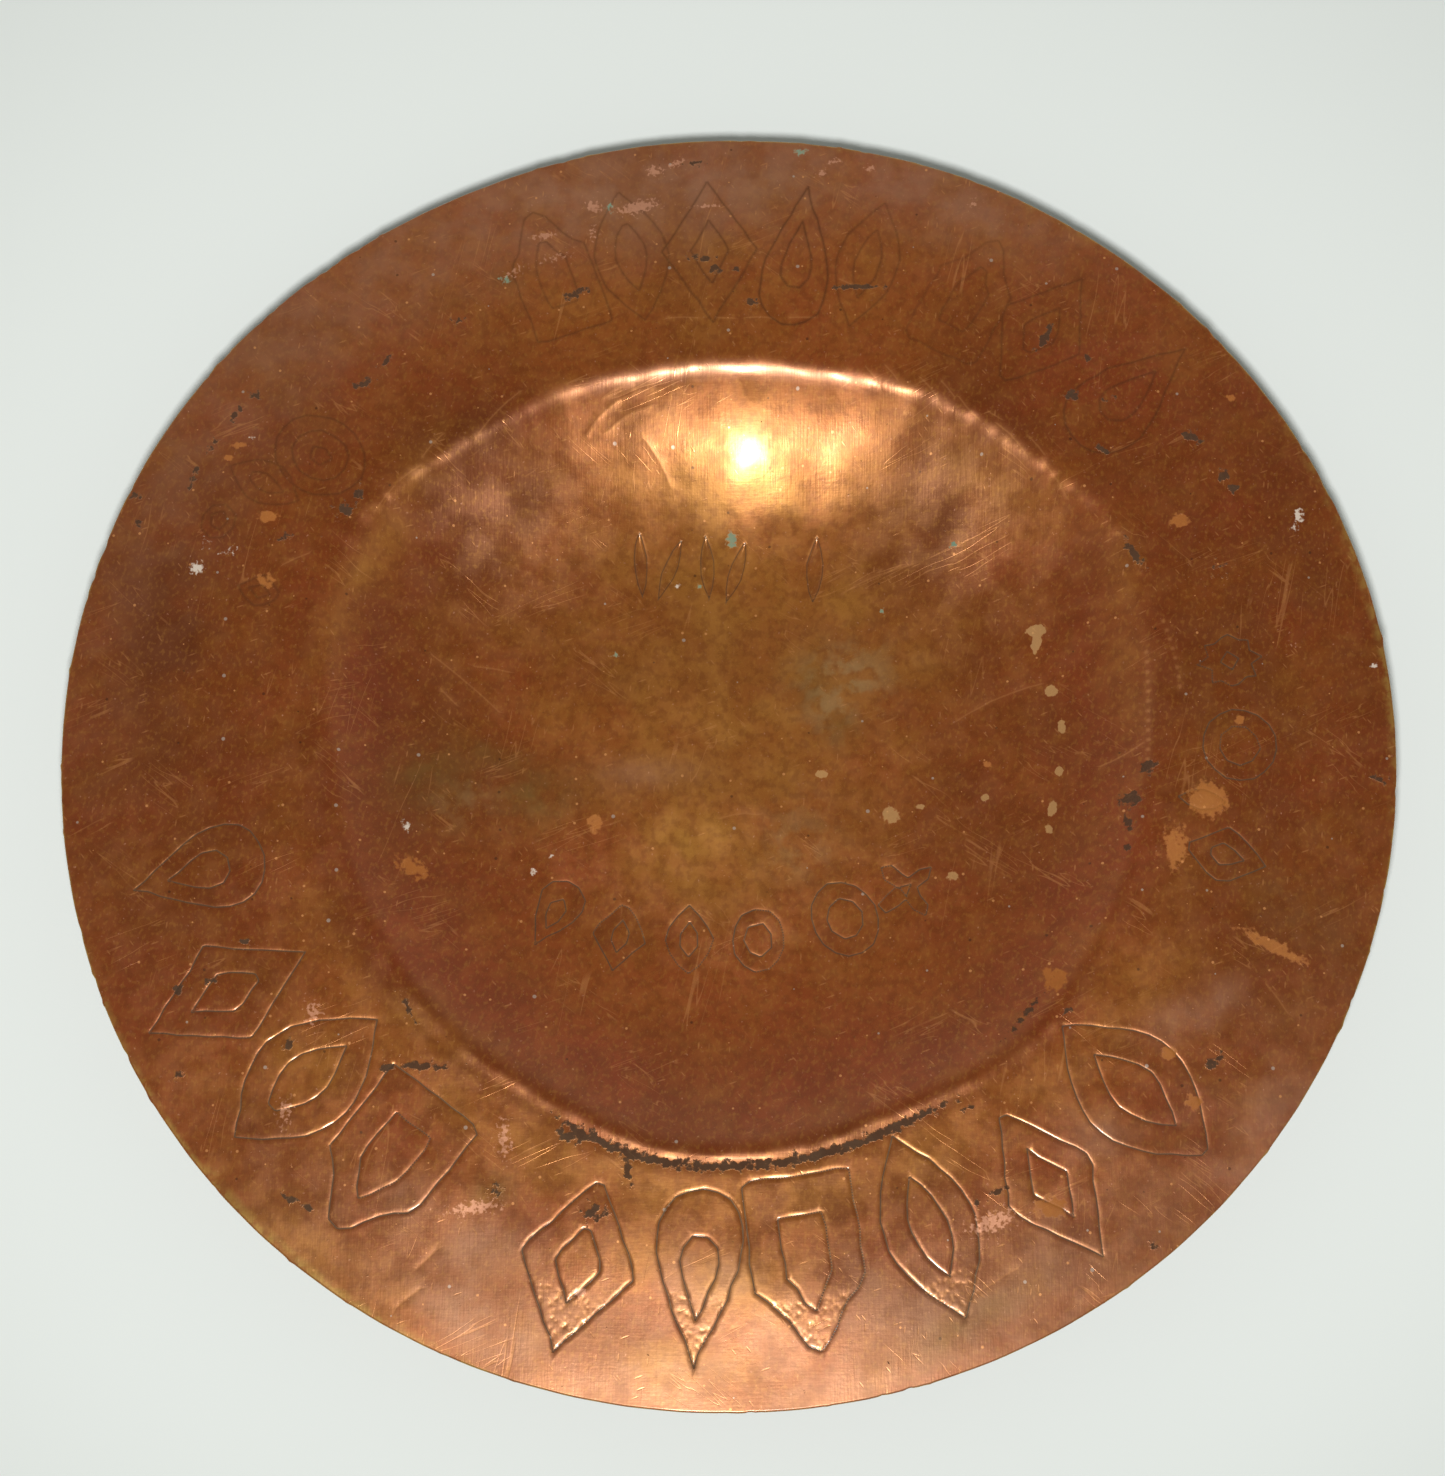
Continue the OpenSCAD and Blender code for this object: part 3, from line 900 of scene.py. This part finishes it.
class Nodes:
    """Short names for making a material's nodes. A value is a number, a colour or another node's output."""

    def __init__(self, tree):
        self.tree = tree
        place = self.new("ShaderNodeTexCoord").outputs["Object"]
        scale = self.new("ShaderNodeVectorMath", operation="SCALE")
        self.tree.links.new(place, scale.inputs[0])
        scale.inputs["Scale"].default_value = 1 / MM
        self.place = scale.outputs[0]

    def new(self, kind, **values):
        node = self.tree.nodes.new(kind)
        for name, value in values.items():
            setattr(node, name, value)
        return node

    def put(self, socket, value):
        if isinstance(value, bpy.types.NodeSocket):
            self.tree.links.new(value, socket)
        else:
            socket.default_value = value

    def math(self, operation, a, b=0.0, clamp=False):
        node = self.new("ShaderNodeMath", operation=operation, use_clamp=clamp)
        self.put(node.inputs[0], a)
        self.put(node.inputs[1], b)
        return node.outputs[0]

    def times(self, *values):
        result = values[0]
        for value in values[1:]:
            result = self.math("MULTIPLY", result, value)
        return result

    def plus(self, *values):
        result = values[0]
        for value in values[1:]:
            result = self.math("ADD", result, value)
        return result

    def mark(self, name):
        return self.new("ShaderNodeAttribute", attribute_name=name).outputs["Fac"]

    def at(self, along, across, spin):
        """The place on the sheet, in units of along and across millimetres in a turned frame."""
        node = self.new("ShaderNodeMapping", vector_type="TEXTURE")
        node.inputs["Scale"].default_value = (along, across, 1)
        node.inputs["Rotation"].default_value = (0, 0, math.radians(spin))
        self.put(node.inputs["Vector"], self.place)
        return node.outputs[0]

    def noise(self, along, across=None, spin=0.0, detail=3.0):
        """Noise from about 0.3 to 0.7, with features along by across millimetres."""
        node = self.new("ShaderNodeTexNoise", noise_dimensions="2D")
        node.inputs["Scale"].default_value = 1.0
        node.inputs["Detail"].default_value = detail
        self.put(node.inputs["Vector"], self.at(along, across or along, spin))
        return node.outputs["Fac"]

    def ramp(self, value, low, high, to_low=0.0, to_high=1.0):
        node = self.new("ShaderNodeMapRange", interpolation_type="SMOOTHSTEP")
        self.put(node.inputs["Value"], value)
        for name, end in (("From Min", low), ("From Max", high), ("To Min", to_low), ("To Max", to_high)):
            node.inputs[name].default_value = end
        return node.outputs[0]

    def mix(self, amount, a, b):
        node = self.new("ShaderNodeMix", data_type="RGBA")
        self.put(node.inputs[0], amount)
        self.put(node.inputs[6], a)
        self.put(node.inputs[7], b)
        return node.outputs[2]

    def ragged(self, name, grain, swing, low, high):
        """A mark with a ragged edge: its strength, upset by noise, between two thresholds."""
        upset = self.times(self.math("SUBTRACT", self.noise(grain, detail=4.0), 0.5), swing)
        return self.ramp(self.plus(self.mark(name), upset), low, high)

    def thinned(self, name, noise, low, high, least, most):
        """A mark times a share that goes from least to most as some noise goes from low to high."""
        return self.times(self.mark(name), self.ramp(noise, low, high, least, most))

    def cloud(self, name, grain, most):
        """A soft mark, thinned here and there by noise."""
        return self.times(self.thinned(name, self.noise(grain, detail=4.0), 0.32, 0.66, 0.5, 1.0), most)

    def dots(self, spacing, chance, radius):
        """Small round dots, one in a few cells of a grid."""
        node = self.new("ShaderNodeTexVoronoi", voronoi_dimensions="2D")
        node.inputs["Scale"].default_value = 1.0
        self.put(node.inputs["Vector"], self.at(spacing, spacing, 0))
        parts = self.new("ShaderNodeSeparateColor")
        self.put(parts.inputs[0], node.outputs["Color"])
        chosen = self.math("LESS_THAN", parts.outputs[0], chance)
        size = self.ramp(parts.outputs[1], 0, 1, 0.35, 1.0)
        reach = self.math("DIVIDE", node.outputs["Distance"], size)
        return self.times(chosen, self.ramp(reach, 0.6 * radius / spacing, radius / spacing, 1.0, 0.0))

    def dashes(self, along, across, spin, chance):
        """Short ticks in one direction, in a few cells of a stretched grid, where noise lets them be."""
        node = self.new("ShaderNodeTexVoronoi", voronoi_dimensions="2D")
        node.inputs["Scale"].default_value = 1.0
        self.put(node.inputs["Vector"], self.at(along, across, spin))
        parts = self.new("ShaderNodeSeparateColor")
        self.put(parts.inputs[0], node.outputs["Color"])
        chosen = self.math("LESS_THAN", parts.outputs[0], chance)
        tick = self.ramp(node.outputs["Distance"], 0.02, 0.09, 1.0, 0.0)
        return self.times(chosen, tick, self.ramp(self.noise(24, detail=2.0), 0.42, 0.56))

    def hairs(self, along, across, spin, width, patch, share):
        """Hair scratches in one direction, in patches. share is how much of the sheet has them, 0 to 1."""
        wander = self.noise(along, across, spin, detail=1.0)
        off = self.math("ABSOLUTE", self.math("SUBTRACT", wander, 0.5))
        line = self.ramp(off, 0.0, 0.6 * width / across, 1.0, 0.0)
        edge = 0.66 - 0.3 * share
        return self.times(line, self.ramp(self.noise(patch, patch / 2, spin, 2.0), edge, edge + 0.06))


def metal_colour(n):
    """The patina's broad browns, partly painted shade and painted glow, with no marks on it."""
    colour = COLOURS["brown"]
    for name, amount in (
        ("umber_and_painted_shade", n.ramp(n.noise(48), 0.40, 0.62, 0.0, 0.35)),
        ("red", n.ramp(n.noise(30, 22, 30), 0.45, 0.66, 0.0, 0.4)),
        ("gold_and_painted_glow", n.ramp(n.noise(16, 12, -20, 4.0), 0.50, 0.70, 0.0, 0.16)),
        # The umber patches are partly painted shade.
        ("umber_and_painted_shade", n.cloud("umber_and_painted_shade", 14, 0.9)),
        ("red", n.cloud("red", 18, 0.75)),
        # The gold patches are partly painted glow.
        ("gold_and_painted_glow", n.cloud("gold_and_painted_glow", 12, 0.75)),
        # The wall band is painted shade over redder patina.
        ("wall", n.thinned("wall", n.noise(20, 8, 40), 0.35, 0.6, 0.15, 0.6)),
        ("umber_and_painted_shade", n.thinned("band", n.noise(9, 5, 60), 0.42, 0.6, 0.05, 0.4)),
        ("umber_and_painted_shade", n.ramp(n.noise(2.4, detail=4.0), 0.42, 0.66, 0.0, 0.34)),
        ("gold_and_painted_glow", n.ramp(n.noise(6.0, 4.0, 30, 5.0), 0.48, 0.76, 0.0, 0.12)),
        ("gold_and_painted_glow", n.ramp(n.noise(1.3, 0.9, 80, 4.0), 0.50, 0.74, 0.0, 0.24)),
        ("haze", n.cloud("haze", 9, 0.6)),
        ("olive", n.cloud("olive", 7, 0.7)),
        ("sage", n.thinned("sage", n.noise(5, detail=5.0), 0.38, 0.62, 0.1, 0.6)),
    ):
        colour = n.mix(amount, colour, COLOURS[name])
    return colour


# How metallic, rough and clear-coated the copper is, and the golden gloss of the oxide film over it.
# Crust, salt, stains and grooves take the metal and the coat away.
METAL = 0.42
ROUGH = 0.31
COAT = 0.20
COAT_ROUGH = 0.14
FILM_IOR = 1.64
FILM_TINT = (1.0, 0.93, 0.60, 1.0)


def copper_material():
    """Aged copper: patina, stains and scratches, with some painted shade, glow, highlights and glints in
    its colour, and fine grain, pits and crust in its bump.
    """
    material = bpy.data.materials.new("aged_copper")
    material.use_nodes = True
    tree = material.node_tree
    tree.nodes.clear()
    n = Nodes(tree)
    shader = n.new("ShaderNodeBsdfPrincipled")
    n.put(n.new("ShaderNodeOutputMaterial").inputs["Surface"], shader.outputs[0])

    crust = n.ragged("crust", 1.5, 1.8, 0.45, 0.75)
    ochre = n.ragged("ochre", 1.6, 1.1, 0.36, 0.66)
    drip = n.ragged("drip", 1.2, 0.6, 0.42, 0.58)
    bare_and_glints = n.ragged("bare_and_glints", 0.9, 2.2, 0.40, 0.85)
    salt = n.ragged("salt", 0.9, 1.5, 0.5, 0.9)
    verdigris = n.ragged("verdigris", 1.0, 1.4, 0.4, 0.8)
    groove = n.ramp(n.mark("groove"), 0.30, 0.9)
    wear_and_glints = n.mark("wear_and_glints")
    fine_hairs = n.hairs(26, 2.2, 24, 0.07, 30, 0.12)
    more_hairs = n.hairs(20, 2.4, -38, 0.07, 26, 0.10)
    long_hairs = n.hairs(60, 4.0, 78, 0.08, 40, 0.14)
    ticks = n.plus(n.dashes(14, 2.4, 20, 0.20), n.dashes(11, 2.2, -52, 0.20), n.dashes(12, 2.6, 84, 0.16))
    hair = n.math("ADD", n.plus(fine_hairs, more_hairs, long_hairs), n.times(ticks, 1.6), clamp=True)
    dark_dots = n.dots(9, 0.16, 0.45)
    pale_dots = n.dots(15, 0.30, 0.55)
    bright_dots = n.dots(6, 0.22, 0.40)

    back = n.thinned("under", n.noise(20, detail=5.0), 0.4, 0.6, 0.35, 0.85)
    edge = n.thinned("edge_wear", n.noise(3.0, detail=4.0), 0.38, 0.6, 0.2, 0.9)

    colour = metal_colour(n)
    for name, amount, most in (
        # Hair scratches, bright dots and the marked scratches and blows turn bright copper: bared metal,
        # partly painted glints.
        ("bright", hair, 0.25),
        ("bright", bright_dots, 0.6),
        ("crust", dark_dots, 0.55),
        ("salt", pale_dots, 0.45),
        ("bright", wear_and_glints, 0.5),
        # The crest mark is a painted highlight along the far side of the lip.
        ("crest", n.mark("crest"), 0.4),
        ("faint_groove", n.mark("faint"), 0.6),
        ("groove", groove, 0.8),
        # Bare patches: bared copper, and on the near side painted glints.
        ("bare_and_glints", bare_and_glints, 0.6),
        ("ochre", ochre, 0.6),
        ("drip", drip, 0.65),
        ("verdigris", verdigris, 0.7),
        ("salt", salt, 0.8),
        ("crust", crust, 0.9),
        ("back", back, 1.0),
        ("edge", edge, 1.0),
    ):
        colour = n.mix(n.times(amount, most), colour, COLOURS[name])
    n.put(shader.inputs["Base Color"], colour)

    dull = n.plus(crust, salt, verdigris, n.times(n.plus(ochre, drip), 0.7), n.times(groove, 0.6))
    dull = n.math("MINIMUM", dull, 1.0)
    shine = n.math("SUBTRACT", 1.0, dull)
    n.put(shader.inputs["Metallic"], n.times(shine, METAL))
    rough = n.ramp(n.noise(7, detail=4.0), 0.35, 0.65, ROUGH - 0.05, ROUGH + 0.06)
    rough = n.plus(rough, n.times(dull, 0.55), n.times(n.mark("haze"), 0.08))
    rough = n.plus(rough, n.times(n.mark("under"), 0.08), n.times(wear_and_glints, -0.08), n.times(hair, -0.05))
    n.put(shader.inputs["Roughness"], rough)
    n.put(shader.inputs["Coat Weight"], n.times(shine, COAT))
    shader.inputs["Coat Roughness"].default_value = COAT_ROUGH
    shader.inputs["IOR"].default_value = FILM_IOR
    shader.inputs["Specular Tint"].default_value = FILM_TINT

    grain = n.times(n.noise(0.55, 7.0, 0, 2.0), 0.012)
    cross_grain = n.times(n.noise(5.0, 0.6, 0, 2.0), 0.006)
    pits = n.times(n.noise(1.0, detail=4.0), 0.010)
    cuts = n.times(hair, -0.008)
    lumps = n.times(crust, n.noise(0.8, detail=4.0), 0.12)
    bump = n.new("ShaderNodeBump")
    bump.inputs["Strength"].default_value = 1.0
    bump.inputs["Distance"].default_value = MM
    n.put(bump.inputs["Height"], n.plus(grain, cross_grain, pits, cuts, lumps))
    n.put(shader.inputs["Normal"], bump.outputs[0])
    return material


tray = bpy.data.objects.new("tray_sheet", build_mesh())
bpy.context.scene.collection.objects.link(tray)
tray.data.materials.append(copper_material())
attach(tray, "root")
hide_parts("tray")


# ---------------------------------------------------------------- floor, light and camera
FLOOR_HALF = 20000 * MM
FLOOR_COLOUR = (0.79, 0.825, 0.80, 1)
CAMERA_AIM = Vector((-1.3, -1.9, 20.2)) * MM
CAMERA_REACH = 590 * MM
CAMERA_HEIGHT = math.radians(72.8)
CAMERA_LENS = 62.7
FLASH_OFFSET = Vector((-8, -46, -10)) * MM
FLASH_AIM = Vector((0, 900, 0)) * MM
FLASH_SIZE = 60 * MM
FLASH_POWER = 4.6
SKY_COLOUR = (0.98, 1.0, 0.92, 1)
CEILING_LIGHT = 0.09
HORIZON_LIGHT = 0.72
# The sine of the elevation up to which the horizon's light stays at its full strength
HORIZON_TOP = 0.05


def floor_material():
    material = bpy.data.materials.new("pale_floor")
    material.use_nodes = True
    shader = material.node_tree.nodes["Principled BSDF"]
    shader.inputs["Base Color"].default_value = FLOOR_COLOUR
    shader.inputs["Roughness"].default_value = 0.8
    shader.inputs["Specular IOR Level"].default_value = 0.2
    return material


def make_floor():
    """A plain level floor, far wider than the view."""
    half = FLOOR_HALF
    corners = [(-half, -half, 0), (half, -half, 0), (half, half, 0), (-half, half, 0)]
    mesh = bpy.data.meshes.new("floor")
    mesh.from_pydata(corners, [], [(0, 1, 2, 3)])
    mesh.materials.append(floor_material())
    floor = bpy.data.objects.new("floor", mesh)
    bpy.context.scene.collection.objects.link(floor)


def aim(thing, place, target):
    """Puts a light or the camera at a place, looking at a target."""
    thing.location = place
    thing.rotation_mode = "QUATERNION"
    thing.rotation_quaternion = (Vector(target) - Vector(place)).to_track_quat("-Z", "Y")


def make_camera():
    """The camera, which looks down on the tray from the near side."""
    data = bpy.data.cameras.new("camera")
    data.lens = CAMERA_LENS
    data.sensor_width = 36.0
    camera = bpy.data.objects.new("camera", data)
    bpy.context.scene.collection.objects.link(camera)
    back = Vector((0, -math.cos(CAMERA_HEIGHT), math.sin(CAMERA_HEIGHT)))
    aim(camera, CAMERA_AIM + CAMERA_REACH * back, CAMERA_AIM)
    bpy.context.scene.camera = camera
    return camera


def make_softbox(camera):
    """A small round light close to the lens, aimed beyond the far side of the tray."""
    data = bpy.data.lights.new("softbox", "AREA")
    data.shape = "DISK"
    data.size = FLASH_SIZE
    data.energy = FLASH_POWER
    light = bpy.data.objects.new("softbox", data)
    bpy.context.scene.collection.objects.link(light)
    aim(light, camera.location + FLASH_OFFSET, FLASH_AIM)


def make_world():
    """Even light from a dim ceiling, brighter towards the horizon."""
    world = bpy.data.worlds.new("studio")
    world.use_nodes = True
    nodes, links = world.node_tree.nodes, world.node_tree.links
    background = nodes["Background"]
    background.inputs["Color"].default_value = SKY_COLOUR
    height = nodes.new("ShaderNodeSeparateXYZ")
    links.new(nodes.new("ShaderNodeTexCoord").outputs["Generated"], height.inputs[0])
    ramp = nodes.new("ShaderNodeMapRange")
    ramp.interpolation_type = "SMOOTHSTEP"
    ramp.inputs["From Min"].default_value = HORIZON_TOP
    ramp.inputs["From Max"].default_value = 1.0
    ramp.inputs["To Min"].default_value = HORIZON_LIGHT
    ramp.inputs["To Max"].default_value = CEILING_LIGHT
    links.new(height.outputs["Z"], ramp.inputs["Value"])
    links.new(ramp.outputs[0], background.inputs["Strength"])
    bpy.context.scene.world = world


make_floor()
make_softbox(make_camera())
make_world()
bpy.context.scene.view_settings.view_transform = "Standard"
